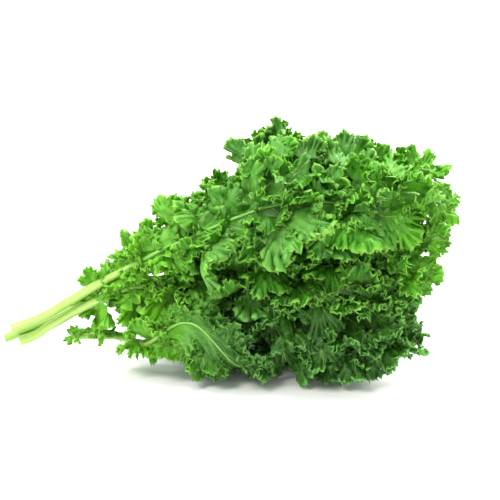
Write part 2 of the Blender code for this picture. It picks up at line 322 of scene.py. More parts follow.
def along_leaf(values, x, tip):
    """A leaf's own angle or share at station x, from its values at the petiole, the body and the tip."""
    base, body, end = values
    opened = base + (body - base) * smooth_step((x - PETIOLE_END) / (BODY_START - PETIOLE_END))
    return opened + (end - opened) * smooth_step((x - tip + TIP_STRETCH) / TIP_STRETCH)


def sheet_point(row, x, across):
    """Point of a leaf's smooth sheet at station x, and across from -1, its lower edge, to 1."""
    share_across = np.abs(across)
    lower, upper = row["spread"]
    turn = np.where(across < 0, -lower, upper) * (1 - (1 - share_across) ** row["opening"])
    bend = row["bend"] * smooth_step((BEND_END - x) / BEND_STRETCH)
    angle = np.radians(along_leaf(row["angle"], x, row["tip"]) + turn - bend)
    middle = along_leaf(row["share"], x, row["tip"])
    edge = np.where(across < 0, row["reach"][0], row["reach"][1])
    if row["tucked"]:
        place, stretch, depth = row["tucked"]
        edge = edge - depth * np.exp(-((x - place) / stretch) ** 4)
    share = middle + (edge - middle) * share_across ** EDGE_RISE
    distance = share * outline_radius(x, angle)
    height = smooth_row(x, STATIONS, AXIS_HEIGHT) + distance * np.sin(angle)
    return np.stack([x, -distance * np.cos(angle), height], axis=-1)


def unit(vectors):
    return vectors / np.maximum(np.linalg.norm(vectors, axis=-1, keepdims=True), 1e-12)


def sheet_normal(row, x, across):
    """Unit normal of the sheet, which points outwards at the midrib."""
    step = 0.002
    along = sheet_point(row, x + step, across) - sheet_point(row, x - step, across)
    sideways = sheet_point(row, x, across + step) - sheet_point(row, x, across - step)
    return unit(np.cross(along, sideways))


def blade_share(row, station):
    """Share of its sheet that the blade takes up at a station: leaflets, then the body, then the tip."""
    t = (station - row["blade_start"]) / (row["tip"] - row["blade_start"])
    body_start = max(row["blade_start"], row["body_from"])
    rise = smooth_step((station - body_start) / (0.30 * (row["tip"] - body_start)))
    body = rise * (1 - np.clip(t, 0, 1) ** TIP_BLUNTNESS) ** 0.5
    share = np.maximum(body, WING_SHARE)
    for place, size in row["leaflets"]:
        share = np.maximum(share, size * np.exp(-((station - place) / LEAFLET_HALF_LENGTH) ** 2))
    return share


def blade_stations(row):
    """First and last station of a blade, as its solid has them."""
    step = FRILL_WAVE / STATIONS_PER_WAVE
    first = row["blade_start"] - (row["blade_start"] + row["phase"] * FRILL_WAVE) % step
    return first, first + step * int(round((row["tip"] - row["blade_start"]) / step))


def band_rows(bands):
    """Shares of the way to the rim for the rows, and the stations that one step of each row takes."""
    shares = [0.0]
    strides = [bands[0][2]]
    low = 0.0
    for high, rows, stride in bands:
        for number in range(1, rows + 1):
            shares.append(low + (high - low) * number / rows)
            strides.append(stride)
        low = high
    # The last row of a band is also the first of the next, and takes the finer step.
    for index in range(1, len(strides) - 1):
        strides[index] = min(strides[index], strides[index + 1])
    return np.array(shares), strides


def wander(draw, station, wave, size):
    """A smooth random walk about nought along a leaf, one draw for each wave length."""
    knots = np.arange(station[0] - 2 * wave, station[-1] + 3 * wave, wave)
    values = draw.uniform(-size, size, len(knots))
    return smooth_row(station, knots, values)


def edge_length(points):
    """Length along the rim, from the first station."""
    steps = np.linalg.norm(np.diff(points, axis=0), axis=-1)
    return np.concatenate([[0.0], np.cumsum(steps)])


def grid_frame(points):
    """Unit normal and unit direction along the leaf of a grid of points."""
    along = np.gradient(points, axis=0)
    sideways = np.gradient(points, axis=1)
    return unit(np.cross(along, sideways)), unit(along)


def ruffle(points, phase, height, wave, weight):
    """Lays a wave on a grid of points, leaning over so that its crests overhang."""
    normal, along = grid_frame(points)
    lean = 1.15 * wave / (4 * math.pi)
    lean = np.minimum(lean, 1.2 * height)
    rise = (height * weight)[..., None] * np.sin(phase)[..., None] * normal
    shift = (lean * weight)[..., None] * np.sin(2 * phase)[..., None] * along
    return points + rise - shift


def lamina_across(row, side, station, part, draw):
    """How far across its sheet each point of the inner part lies, out to its lobed edge."""
    wave = station / FRILL_WAVE + row["phase"] + (0.5 if side < 0 else 0.0)
    lobe = 1 - LOBE_DEPTH * (0.5 - 0.5 * np.sin(math.tau * wave)) * part
    small_lobe = wander(draw, station[:, 0], *EDGE_CHANGE)[:, None] * part ** 2
    return side * part * blade_share(row, station) * row["lamina_share"] * (lobe + small_lobe)


def frill_height(row, side, station, across, size):
    """Height of a blade's large frill above its sheet, which grows with the bunch's size there."""
    turned = 0.5 if row["opening"] > 1 else 0.3
    phase = math.tau * (station / FRILL_WAVE + row["phase"] + (turned if side < 0 else 0.0))
    outward = np.clip((np.abs(across) - FLAT_BY_RIB) / (1 - FLAT_BY_RIB), 0, 1)
    weight = outward ** FRILL_POWER * np.clip(size / FULL_FRILL_RADIUS, 0, 1)
    return FRILL_HEIGHT * (1 + row["bulge"]) * weight * (row["bulge"] + np.sin(phase))


def pucker_height(station, part, across, size):
    """Height of the puckers of the inner part, which slant towards the tip as its side veins do."""
    slanted = (station - PUCKER_SLANT * np.abs(across) * size) / PUCKER_WAVE
    pucker = PUCKER_HEIGHT * np.abs(np.sin(math.pi * slanted)) * smooth_step(part / PUCKER_FROM)
    return pucker * (0.8 + 0.5 * np.sin(math.tau * (part * 2.1 + station / PUCKER_CHANGE)))


def lamina_shade(row, side, station, part):
    """Shade of the inner part: patches, and the pale underside that shows at a turned tip."""
    long_wave, short_wave = SHADE_WAVES
    patches = np.sin(math.tau * station / long_wave + 4 * part)
    patches = patches * np.sin(math.tau * station / short_wave - 5 * part)
    shade = row["shade"] + SHADE_CHANGE * patches
    if row["bulge"] and side > 0:
        turned = smooth_step((station - row["tip"] + PALE_END_LENGTH) / PALE_END_BLEND)
        shade = shade + (PALE_END_SHADE - shade) * turned
    return shade


def curled_lamina(points, row, station, part, draw):
    """The inner part with curls along its edge, which die out towards the midrib."""
    stations = station[:, 0]
    width = np.clip(blade_share(row, station) / FULL_CURL_SHARE, LEAST_CURL, 1)
    change = 1 + wander(draw, stations, *CURL_CHANGE)[:, None]
    walk = wander(draw, stations, *CURL_WALK)[:, None]
    phase = math.tau * edge_length(points[:, -1])[:, None] / CURL_WAVE + walk + 1.2 * part
    weight = smooth_step((part - LAMINA_CURL_FROM) / (1 - LAMINA_CURL_FROM)) * width * change
    return ruffle(points, phase, LAMINA_CURL_SCALE * CURL_HEIGHT, CURL_WAVE, weight)


def half_lamina(row, side, stations, draw):
    """Grid of points of one half of a blade's inner part, from midrib to edge, and its places on the leaf."""
    shares, _ = band_rows(LAMINA_BANDS)
    station, part = np.meshgrid(stations, shares, indexing="ij")
    across = lamina_across(row, side, station, part, draw)
    x = station + FORWARD_SWEEP * np.abs(across) ** SWEEP_GROWTH
    normal = sheet_normal(row, x, across)
    size = outline_radius(station, np.radians(along_leaf(row["angle"], station, row["tip"])))
    points = sheet_point(row, x, across)
    points = points + normal * frill_height(row, side, station, across, size)[..., None]
    pucker = pucker_height(station, part, across, size) * draw.choice((-1, 1))
    points = curled_lamina(points + normal * pucker[..., None], row, station, part, draw)
    distance = np.abs(across) * VEIN_SPREAD
    shade = lamina_shade(row, side, station, part)
    return points, np.stack([station, distance, 0.3 * part, shade], axis=-1)


def lobe_parts(draw, swing):
    """Number of each rounded part of a lobe as it is reached along the rim, with a fraction."""
    parts = draw.integers(3, 6)
    return parts * (0.5 + 0.5 * swing) + wander(draw, swing, 0.4, 0.24) + draw.uniform(0, 1)


def blisters(ahead, beside, part, root):
    """Height of the blisters between a lobe's veins, placed by where the lobe is rooted."""
    rows = np.sin(math.tau * (ahead + 0.25 * beside) / BLISTER_LENGTH + 900 * root[0])
    columns = np.sin(math.tau * (beside - 0.30 * ahead) / BLISTER_WIDTH + 700 * root[1])
    return BLISTER_HEIGHT * (rows * columns) * smooth_step((part - 0.10) / 0.35)


def fan_surface(root, outward, sideways, length, turn, share, draw):
    """A lobe before its rim is curled: its points, and how far ahead and beside its root they lie."""
    swing = turn[:, 0]
    part = (share - LOBE_ROOT) / (1 - LOBE_ROOT)
    number = lobe_parts(draw, swing)
    between = 1 - np.abs(np.sin(math.pi * number))
    corner = LOBE_CORNER_CUT * np.abs(swing) ** 3
    short = LOBE_CUT * between ** 1.5 + corner + wander(draw, swing, 0.3, 0.10)
    size = 1 + wander(draw, swing, 0.35, 0.45)
    outer = smooth_step((part - LOBE_FLAT) / (1 - LOBE_FLAT))
    wave = LOBE_WAVE_HEIGHT * length * (size * np.sin(math.pi * number))[:, None] * outer ** 1.5
    reach = length * share * (1 - short[:, None] * part ** 1.6) - 0.5 * wave ** 2 / length
    lean = LOBE_LEAN * length * outer ** 2 * np.sin(math.tau * number)[:, None]
    lift = draw.uniform(-LOBE_LIFT, LOBE_LIFT) + wander(draw, swing, 0.6, 0.30)[:, None]
    ahead = reach * np.cos(LOBE_SPREAD * turn)
    beside = reach * np.sin(LOBE_SPREAD * turn)
    height = wave + (lift * length * part ** 2 + blisters(ahead, beside, part, root))
    face = np.cross(sideways, outward)
    points = root + ahead[..., None] * outward + (beside - lean)[..., None] * sideways
    return points + height[..., None] * face, ahead, beside


def rim_wave(points, part, swing, wave, start, changes, draw):
    """Phase and weight of a wave along a lobe's rim. changes are the knots of both, and the weight's size."""
    phase_knots, weight_knots, size = changes
    rim = edge_length(points[:, -1])[:, None]
    phase = math.tau * rim / wave + wander(draw, swing, phase_knots, 1.2)[:, None]
    weight = 1 + wander(draw, swing, weight_knots, size)[:, None]
    return phase, smooth_step((part - start) / (1 - start)) * weight


def curled_rim(points, part, swing, scale, draw):
    """A lobe with the curls, the crimps and the teeth of its rim."""
    phase, weight = rim_wave(points, part, swing, CURL_WAVE * scale, CURL_FROM, (0.12, 0.2, 0.4), draw)
    points = ruffle(points, phase + 1.4 * part, CURL_HEIGHT * scale, CURL_WAVE, weight)
    phase, weight = rim_wave(points, part, swing, CRIMP_WAVE, CRIMP_FROM, (0.07, 0.1, 0.5), draw)
    points = ruffle(points, phase, CRIMP_HEIGHT * scale, CRIMP_WAVE, weight)
    rim = edge_length(points[:, -1])[:, None]
    tooth = 1 - np.abs(np.sin(math.pi * rim / TOOTH_WAVE + wander(draw, swing, 0.06, 1.0)[:, None]))
    near_rim = smooth_step((part - TOOTH_FROM) / (1 - TOOTH_FROM))
    return points + unit(np.gradient(points, axis=1)) * (TOOTH_LENGTH * tooth * near_rim)[..., None]


def fan_lobe(root, outward, sideways, length, columns, draw, shade=None):
    """Grid of points of one fan-shaped lobe, from its root to its crimped rim, and its places.

    outward runs along its middle vein, and sideways is the direction that its rim runs in.
    """
    scale = length / LOBE_LENGTH
    columns = max(int(columns * min(scale, MOST_COLUMNS_SCALE)) // 4 * 4, FEWEST_COLUMNS)
    shares, _ = band_rows(LOBE_BANDS)
    swing = np.linspace(-1, 1, columns + 1)
    turn, share = np.meshgrid(swing, LOBE_ROOT + (1 - LOBE_ROOT) * shares, indexing="ij")
    part = (share - LOBE_ROOT) / (1 - LOBE_ROOT)
    points, ahead, beside = fan_surface(root, outward, sideways, length, turn, share, draw)
    points = curled_rim(points, part, swing, scale, draw)
    from_vein = LOBE_VEIN_SPREAD * np.abs(beside) / (1.3 - part)
    tone = np.full_like(part, draw.uniform(0.1, 0.8) if shade is None else shade)
    return points, np.stack([ahead, from_vein, 0.3 + 0.7 * part, tone], axis=-1)


def lobe_root(row, station, side, share):
    """Root point of a lobe at a share of the blade's half width, with the sheet's three directions there."""
    across = side * share * float(blade_share(row, np.array(station)))
    x = station + FORWARD_SWEEP * abs(across) ** SWEEP_GROWTH
    x = np.array([x])
    across = np.array([across])
    step = 0.01
    point = sheet_point(row, x, across)[0]
    outward = unit(sheet_point(row, x, across + side * step) - sheet_point(row, x, across))[0]
    forward = unit(sheet_point(row, x + 0.002, across) - sheet_point(row, x, across))[0]
    return point, outward, forward, sheet_normal(row, x, across)[0]


def half_width(row, station, side):
    """Length across one half of the blade at a station, along its sheet."""
    across = side * np.linspace(0, 1, 12) * float(blade_share(row, np.array(station)))
    line = sheet_point(row, np.full(12, station), across)
    return np.linalg.norm(np.diff(line, axis=0), axis=-1).sum()


def turned_lobe(row, station, side, share, length, sweep, tilt, roll, columns, draw, shade=None):
    """A lobe rooted on the sheet, swept towards the tip, tilted off the sheet and rolled on its vein."""
    point, outward, forward, normal = lobe_root(row, station, side, share)
    flat = unit(outward * math.cos(sweep) + forward * math.sin(sweep))
    ahead = unit(flat * math.cos(tilt) + normal * math.sin(tilt))
    beside = unit(np.cross(normal, ahead)) * side
    over = np.cross(ahead, beside)
    beside = unit(beside * math.cos(roll) + over * math.sin(roll))
    return fan_lobe(point, ahead, beside, length, columns, draw, shade)


def out_share(points):
    """How far from the axis points lie, as a share of the way to the bunch's outline."""
    height = points[..., 2] - smooth_row(points[..., 0], STATIONS, AXIS_HEIGHT)
    angle = np.arctan2(height, -points[..., 1])
    return np.hypot(points[..., 1], height) / outline_radius(points[..., 0], angle)


def kept_inside(lobe):
    """The lobe, made smaller towards its root where it would stand out too far from the bunch."""
    grid, places = lobe
    root = grid[:, 0].mean(axis=0)
    near = min(float(out_share(root)), FURTHEST_OUT - 0.02)
    far = float(np.percentile(out_share(grid[:, -1]), 90))
    scale = np.clip((FURTHEST_OUT - near) / max(far - near, 1e-6), 0.55, 1)
    return root + (grid - root) * scale, places


def drawn_turns(draw, *ranges):
    """A turn from each range of degrees."""
    return [math.radians(draw.uniform(*degrees)) for degrees in ranges]


def edge_lobes(row, side, columns, draw):
    """The lobes along one edge of a blade, tilted off its sheet to one side and the other by turns."""
    first, last = blade_stations(row)
    station = max(first, row["body_from"]) + (0.004 if side > 0 else 0.011)
    turn = 1
    lobes = []
    for place, size in row["leaflets"]:
        length = 0.95 * size * half_width(row, place, side)
        turns = drawn_turns(draw, (0, 30), (-25, 25), (-30, 30))
        lobes.append(turned_lobe(row, place, side, 0.06, length, *turns, columns, draw))
    while station < last:
        width = half_width(row, station, side)
        if width > 0.006:
            length = min(row["lobe_scale"] * LOBE_LENGTH * draw.uniform(0.85, 1.10), 0.92 * width)
            share = np.clip(1 - row["lobe_overlap"] * length / width, 0.04, 1)
            near_tip = smooth_step((station - last + 0.06) / 0.06)
            sweep = math.radians(24 + 40 * near_tip + draw.uniform(-12, 12))
            length = min(length, max((last + TIP_LOBES_PAST - station) / math.sin(sweep), SHORTEST_TIP_LOBE))
            tilt = turn * math.radians(draw.uniform(*row["tilt"]))
            roll = math.radians(draw.uniform(-28, 28))
            lobe = turned_lobe(row, station, side, share, length, sweep, tilt, roll, columns, draw)
            lobes.append(kept_inside(lobe))
        turn = -turn
        pitch = row["lobe_scale"] * LOBE_PITCH * draw.uniform(0.8, 1.2)
        station += pitch * np.clip(width / 0.045, 0.45, 1)
    return lobes


def face_lobes(row, side, columns, draw):
    """The shorter lobes beside the midrib of a blade that lies open."""
    columns = int(columns * FACE_COLUMN_SHARE)
    _, last = blade_stations(row)
    station = BODY_START - 0.045 + (0.0 if side > 0 else 0.5 * FACE_LOBE_PITCH)
    lobes = []
    while station < last - 0.030:
        width = half_width(row, station, side)
        length = min(FACE_LOBE_LENGTH * draw.uniform(0.8, 1.15), 0.6 * width)
        share = draw.uniform(0.08, 0.36)
        turns = drawn_turns(draw, (5, 45), (25, 100), (-35, 35))
        lobes.append(turned_lobe(row, station, side, share, length, *turns, columns, draw))
        station += FACE_LOBE_PITCH * draw.uniform(0.7, 1.3)
    return lobes


def blade_lobes(row, draw):
    """Every lobe of a blade: those along both edges, those on its face, and one at the tip."""
    columns = row["columns"]
    lobes = []
    for side in (1, -1):
        lobes += edge_lobes(row, side, columns, draw)
        if row["bulge"]:
            lobes += face_lobes(row, side, columns, draw)
    for station, side, share, length, sweep, tilt, roll, shade in ACCENT_LOBES.get(row["name"], ()):
        turns = [math.radians(turn) for turn in (sweep, tilt, roll)]
        lobes.append(turned_lobe(row, station, side, share, length, *turns, columns, draw, shade))
    _, last = blade_stations(row)
    point, _, forward, normal = lobe_root(row, last + TIP_LOBES_PAST - TIP_LOBE_LENGTH, 1, 0.02)
    beside = unit(np.cross(normal, forward))
    lobes.append(fan_lobe(point, forward, beside, TIP_LOBE_LENGTH, columns, draw))
    return lobes


def half_triangles(index, strides):
    """Triangles of a half blade, whose rows have fewer stations towards the midrib."""
    made = []
    for row in range(len(strides) - 1):
        low, high = strides[row], strides[row + 1]
        inner = index[::low, row]
        outer = index[::high, row + 1]
        a, b = inner[:-1], inner[1:]
        if low == high:
            c, d = outer[:-1], outer[1:]
            even = np.arange(len(a)) % 2 == 0
            first = np.where(even[:, None], np.stack([a, b, d], 1), np.stack([a, b, c], 1))
            second = np.where(even[:, None], np.stack([a, d, c], 1), np.stack([b, d, c], 1))
            made += [first, second]
        else:
            c, middle, d = outer[:-1:2], outer[1::2], outer[2::2]
            made += [np.stack([a, middle, c], 1), np.stack([a, b, middle], 1), np.stack([b, d, middle], 1)]
    return np.concatenate(made)


def point_normals(points, triangles):
    """Unit normal at each point, from the triangles round it."""
    corners = points[triangles]
    cross = np.cross(corners[:, 1] - corners[:, 0], corners[:, 2] - corners[:, 0])
    normals = np.zeros_like(points)
    for corner in range(3):
        np.add.at(normals, triangles[:, corner], cross)
    return unit(normals)


def rim_walls(triangles, count):
    """Triangles between the open edges of the upper face and those of the lower, count points further on."""
    edges = np.concatenate([triangles[:, [0, 1]], triangles[:, [1, 2]], triangles[:, [2, 0]]])
    _, first, counts = np.unique(np.sort(edges, axis=1), axis=0, return_index=True, return_counts=True)
    rim = edges[first[counts == 1]]
    a, b = rim[:, 0], rim[:, 1]
    return np.concatenate([np.stack([b, a, a + count], 1), np.stack([b, a + count, b + count], 1)])


def triangle_mesh(name, vertices, faces):
    mesh = bpy.data.meshes.new(name)
    mesh.vertices.add(len(vertices))
    mesh.vertices.foreach_set("co", vertices.astype(np.float32).ravel())
    mesh.loops.add(len(faces) * 3)
    mesh.loops.foreach_set("vertex_index", faces.astype(np.int32).ravel())
    mesh.polygons.add(len(faces))
    mesh.polygons.foreach_set("loop_start", np.arange(0, len(faces) * 3, 3, dtype=np.int32))
    mesh.update(calc_edges=True)
    mesh.shade_smooth()
    return mesh


def point_attribute(mesh, name, values):
    """Stores one number, or three, for each vertex of a mesh, for its material to read."""
    kind, field = ("FLOAT", "value") if values.ndim == 1 else ("FLOAT_VECTOR", "vector")
    attribute = mesh.attributes.new(name, kind, "POINT")
    attribute.data.foreach_set(field, values.astype(np.float32).ravel())


def thick_mesh(name, points, places, triangles):
    """A closed thin mesh from an open sheet of triangles: two faces and a rim between them."""
    normals = point_normals(points, triangles)
    half = 0.5 * BLADE_THICKNESS * (1 - RIM_THINNING * places[:, 2:3] ** 4)
    upper = points + normals * half
    lower = points - normals * half
    lower[:, 2] = np.maximum(lower[:, 2], 0.0)
    upper[:, 2] = np.maximum(upper[:, 2], half[:, 0])
    count = len(points)
    faces = np.concatenate([triangles, triangles[:, ::-1] + count, rim_walls(triangles, count)])
    mesh = triangle_mesh(name, np.concatenate([upper, lower]), faces)
    point_attribute(mesh, "place", np.tile(places[:, :3], (2, 1)))
    point_attribute(mesh, "shade", np.tile(places[:, 3], 2))
    point_attribute(mesh, "under", np.repeat([0.0, 1.0], count))
    return mesh


def grid_index(grid, offset):
    return offset + np.arange(grid.shape[0] * grid.shape[1]).reshape(grid.shape[:2])


def lamina_parts(row, draw):
    """Points, places and triangles of a blade's inner part, its two halves joined along the midrib."""
    first, last = blade_stations(row)
    count = int(LAMINA_STATIONS * (last - first) / LAMINA_LENGTH) // 4 * 4 + 1
    stations = np.linspace(first, last, count)
    _, strides = band_rows(LAMINA_BANDS)
    upper, upper_place = half_lamina(row, 1, stations, draw)
    lower, lower_place = half_lamina(row, -1, stations, draw)
    upper_index = grid_index(upper, 0)
    lower_index = grid_index(lower, upper_index.size)
    lower_index[:, 0] = upper_index[:, 0]
    triangles = [half_triangles(upper_index, strides), half_triangles(lower_index, strides)[:, ::-1]]
    points = [upper.reshape(-1, 3), lower.reshape(-1, 3)]
    places = [upper_place.reshape(-1, 4), lower_place.reshape(-1, 4)]
    return points, places, triangles


def make_blade(row, number, material):
    """A leaf's frilled blade: its inner part in two halves, and the lobes round it."""
    draw = np.random.default_rng(100 + number)
    points, places, triangles = lamina_parts(row, draw)
    _, strides = band_rows(LOBE_BANDS)
    for grid, place in blade_lobes(row, draw):
        offset = sum(map(len, points))
        triangles.append(half_triangles(grid_index(grid, offset), strides))
        points.append(grid.reshape(-1, 3))
        places.append(place.reshape(-1, 4))
    # Points that no triangle uses, in rows with fewer stations, are left out.
    used, renumbered = np.unique(np.concatenate(triangles), return_inverse=True)
    points = np.concatenate(points)[used] - BOX_OFFSET
    points[:, 2] = np.maximum(points[:, 2], SOLID_BLADE_THICKNESS / 2)
    places = np.concatenate(places)[used]
    mesh = thick_mesh(row["name"] + "_frilled_blade", points, places, renumbered.reshape(-1, 3))
    mesh.materials.append(material)
    return piece(mesh, row["name"] + "_blade", "leaf_blade")


def stem_radius(row, x):
    """Radius of the stem: full in the petiole, then thinning into the midrib."""
    end = row["tip"] - RIB_ENDS_BEFORE_TIP
    t = np.clip((x - PETIOLE_END) / (end - PETIOLE_END), 0, 1)
    scale = 1.0 if row["stem_start"] < PETIOLE_END else SHORT_STEM_SCALE
    return (STEM_RADIUS + (RIB_RADIUS - STEM_RADIUS) * t ** STEM_TAPER) * scale


def stem_rings(row, number, draw):
    """Points, stations and directions of a stem's rings, and how far each is sunk into the blade."""
    x = np.linspace(row["stem_start"], row["tip"] - RIB_ENDS_BEFORE_TIP, STEM_RINGS)
    middle = np.zeros_like(x)
    flare = CUT_FLARE * np.exp(-((x - row["stem_start"]) / CUT_FLARE_LENGTH) ** 2)
    first, _ = blade_stations(row)
    sunk = smooth_step((x - max(first, row["body_from"])) / SINK_LENGTH)
    radius = stem_radius(row, x) * (1 + flare)
    radius = radius * (1 + wander(draw, x, 0.02, 0.03)) * (1 - SUNK_THINNING * sunk)
    normal = sheet_normal(row, x, middle)
    base = sheet_point(row, x, middle)
    base[:, 2] = np.maximum(base[:, 2], SOLID_BLADE_THICKNESS / 2)
    away = radius * (1.15 - 0.55 * sunk)
    points = base + row["rib_side"] * away[:, None] * normal
    along = unit(np.gradient(points, axis=0))
    sideways = unit(np.cross(along, normal))
    up = np.cross(sideways, along)
    ribs = 1 + 0.035 * np.cos(6 * STEM_TURN + 0.7 * number)
    from_groove = np.mod(STEM_TURN - math.pi / 2 + math.pi, math.tau) - math.pi
    groove = 1 - 0.10 * np.exp(-from_groove ** 2 / 0.12)
    shape = (radius[:, None] * (ribs * groove)[None, :])[..., None]
    grid = (
        points[:, None]
        + shape * np.cos(STEM_TURN)[None, :, None] * sideways[:, None]
        + shape * np.sin(STEM_TURN)[None, :, None] * up[:, None]
    )
    grid[..., 2] = np.maximum(grid[..., 2], LOWEST_STEM_POINT)
    return grid, x, along, sunk


def cut_end(ring, dip):
    """Points of the dished end inside a ring: a smaller ring, and its middle."""
    centre = ring.mean(axis=0)
    inner = centre + (ring - centre) * CUT_INNER_SHARE + dip * 0.7
    return np.concatenate([inner, [centre + dip]])


def tube_faces():
    faces = []
    for low in range(0, (STEM_RINGS - 1) * STEM_SIDES, STEM_SIDES):
        for side in range(STEM_SIDES):
            after = (side + 1) % STEM_SIDES
            faces.append((low + side, low + after, low + STEM_SIDES + after, low + STEM_SIDES + side))
    return faces


def end_faces():
    """Faces of both dished ends, whose points follow those of the rings."""
    near = STEM_RINGS * STEM_SIDES
    last_ring = near - STEM_SIDES
    far = near + STEM_SIDES + 1
    faces = []
    for side in range(STEM_SIDES):
        after = (side + 1) % STEM_SIDES
        faces.append((after, side, near + side, near + after))
        faces.append((near + after, near + side, near + STEM_SIDES))
        faces.append((last_ring + side, last_ring + after, far + after, far + side))
        faces.append((far + side, far + after, far + STEM_SIDES))
    return faces


def make_stem(row, number, material):
    """A leaf's stem and midrib: a ribbed rod with a cut end, sunk into the blade above the petiole."""
    draw = np.random.default_rng(500 + number)
    grid, x, along, sunk = stem_rings(row, number, draw)
    near = cut_end(grid[0], along[0] * CUT_DIP)
    far = cut_end(grid[-1], along[-1] * -TIP_DIP)
    vertices = np.concatenate([grid.reshape(-1, 3), near, far]) - BOX_OFFSET
    mesh = bpy.data.meshes.new(row["name"] + "_ribbed_stem")
    mesh.from_pydata(vertices.tolist(), [], tube_faces() + end_faces())
    mesh.update()
    mesh.shade_smooth()
    mesh.set_sharp_from_angle(angle=math.radians(50))
    # The third number is up to 0.5 along the midrib, and 1 on the cut end.
    count = STEM_RINGS * STEM_SIDES
    places = np.zeros((len(vertices), 3))
    places[:count, 0] = np.repeat(x, STEM_SIDES)
    places[:count, 1] = np.tile(STEM_TURN, STEM_RINGS)
    places[:count, 2] = np.repeat(0.5 * sunk, STEM_SIDES)
    places[count:count + STEM_SIDES + 1, 2] = 1.0
    point_attribute(mesh, "place", places)
    mesh.materials.append(material)
    return piece(mesh, row["name"] + "_stem", "leaf_stem")


def piece(mesh, node, slot):
    """Links a mesh as the piece that stands for a node."""
    made = bpy.data.objects.new(mesh.name, mesh)
    bpy.context.scene.collection.objects.link(made)
    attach(made, "root")
    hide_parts(node)
    return made


# Colours of the blades, the stems and the floor, in linear red, green and blue.
DEEP_GREEN = (0.014, 0.150, 0.003)
FRESH_GREEN = (0.082, 0.418, 0.010)
# Painted shade: darker green near the midrib and the roots of the lobes, where the folds lie in shade.
FOLD_GREEN = (0.010, 0.090, 0.003)
PALE_GREEN = (0.170, 0.480, 0.085)
FLECK_GREEN = (0.10, 0.43, 0.010)
# Lime of the new leaves at the left, and painted light: the glow of backlit leaves there and the bright upper
# tips.
LIME_GREEN = (0.200, 0.600, 0.012)
# Painted shade: near-black green laid over the lower right of the bunch.
SHADED_GREEN = (0.007, 0.070, 0.006)
UNDERSIDE_GREENS = ((0.080, 0.290, 0.046), (0.15, 0.40, 0.070))
VEIN_GREEN = (0.31, 0.55, 0.125)
# Pale rim: partly the leaf's own paler margin, partly a painted highlight; the second green is its copy for
# the painted shade.
RIM_GREENS = ((0.35, 0.74, 0.090), (0.29, 0.79, 0.20))
THROUGH_GREEN = (0.42, 0.85, 0.03)
# Deeper green of the stem away from its groove, partly painted shade, and of its cloudy patches.
STEM_GREEN = (0.16, 0.35, 0.012)
FIBRE_GREEN = (0.22, 0.42, 0.08)
MIDRIB_GREEN = (0.15, 0.42, 0.055)
CUT_END_COLOUR = (0.62, 0.66, 0.36)
FLOOR_GREYS = ((0.90, 0.90, 0.90), (0.92, 0.92, 0.92))

# Where the colours change, along X and up: the lime at the left, the painted light on the upper tips, and the
# painted shade at the lower right. Then the pitch of the side veins and their branches.
YOUNG_STATIONS = (0.000, -0.080)
LIT_TIP_STATIONS = (0.110, 0.170)
LIT_TIP_HEIGHTS = (0.050, 0.090)
SHADED_STATIONS = (-0.060, 0.020)
SHADED_HEIGHTS = (0.095, 0.035)
SIDE_VEIN_PITCH = 0.018
BRANCH_PITCH = 0.0052


class Nodes:
    """A material's node tree, with short calls for the nodes that the materials share."""

    def __init__(self, name):
        self.material = bpy.data.materials.new(name)
        self.material.use_nodes = True
        self.tree = self.material.node_tree
        self.shader = self.tree.nodes["Principled BSDF"]
        self.output = self.tree.nodes["Material Output"]

    def link(self, source, target):
        self.tree.links.new(source, target)

    def put(self, target, value):
        """Links a socket to an input, or sets it to a number, a vector or, from a tuple, a colour."""
        if isinstance(value, bpy.types.NodeSocket):
            self.link(value, target)
        else:
            target.default_value = (*value, 1.0) if isinstance(value, tuple) else value

    def fill(self, node, values):
        for name, value in values.items():
            self.put(node.inputs[name], value)

    def make(self, kind, values):
        node = self.tree.nodes.new("ShaderNode" + kind)
        self.fill(node, values)
        return node

    def math(self, operation, first, second=0.0, clamp=False):
        node = self.make("Math", {0: first, 1: second})
        node.operation = operation
        node.use_clamp = clamp
        return node.outputs[0]

    times = partialmethod(math, "MULTIPLY")
    plus = partialmethod(math, "ADD")
    larger = partialmethod(math, "MAXIMUM")

    def mix(self, factor, first, second):
        node = self.tree.nodes.new("ShaderNodeMix")
        node.data_type = "RGBA"
        self.fill(node, {"Factor": factor, "A": first, "B": second})
        return node.outputs["Result"]

    def ramp(self, value, low, high, start=0.0, end=1.0):
        """Goes smoothly from start to end while value goes from low to high."""
        ends = {"From Min": low, "From Max": high, "To Min": start, "To Max": end}
        node = self.make("MapRange", {"Value": value, **ends})
        node.interpolation_type = "SMOOTHSTEP"
        return node.outputs["Result"]

    def attribute(self, name, output):
        node = self.make("Attribute", {})
        node.attribute_name = name
        return node.outputs[output]

    def noise(self, vector, scale, detail=3.0, roughness=0.5):
        values = {"Vector": vector, "Scale": scale, "Detail": detail, "Roughness": roughness}
        return self.make("TexNoise", values).outputs["Fac"]

    def cells(self, vector, scale):
        node = self.make("TexVoronoi", {"Vector": vector, "Scale": scale})
        node.feature = "DISTANCE_TO_EDGE"
        return node.outputs["Distance"]

    def split(self, vector):
        return self.make("SeparateXYZ", {0: vector}).outputs

    def join(self, *values):
        return self.make("CombineXYZ", dict(enumerate(values))).outputs[0]

    def object_place(self):
        return self.make("TexCoord", {}).outputs["Object"]

    def bump(self, height, strength, distance):
        normal = self.make("Bump", {"Height": height, "Strength": strength, "Distance": distance}).outputs[0]
        self.link(normal, self.shader.inputs["Normal"])
        return normal


def toned(colour, tone):
    return tuple(tone * part for part in colour)


def blade_places(n):
    """The sockets that a blade's colours are worked out from."""
    along, across, share = n.split(n.attribute("place", "Vector"))
    spot = n.object_place()
    reach, _, height = n.split(spot)
    return {
        "along": along,
        "distance": n.math("ABSOLUTE", across),
        "share": share,
        "shade": n.attribute("shade", "Fac"),
        "under": n.attribute("under", "Fac"),
        "spot": spot,
        "reach": reach,
        "height": height,
        "large": n.noise(spot, 34.0, 2.0),
        "small": n.noise(spot, 260.0, 4.0, 0.6),
    }


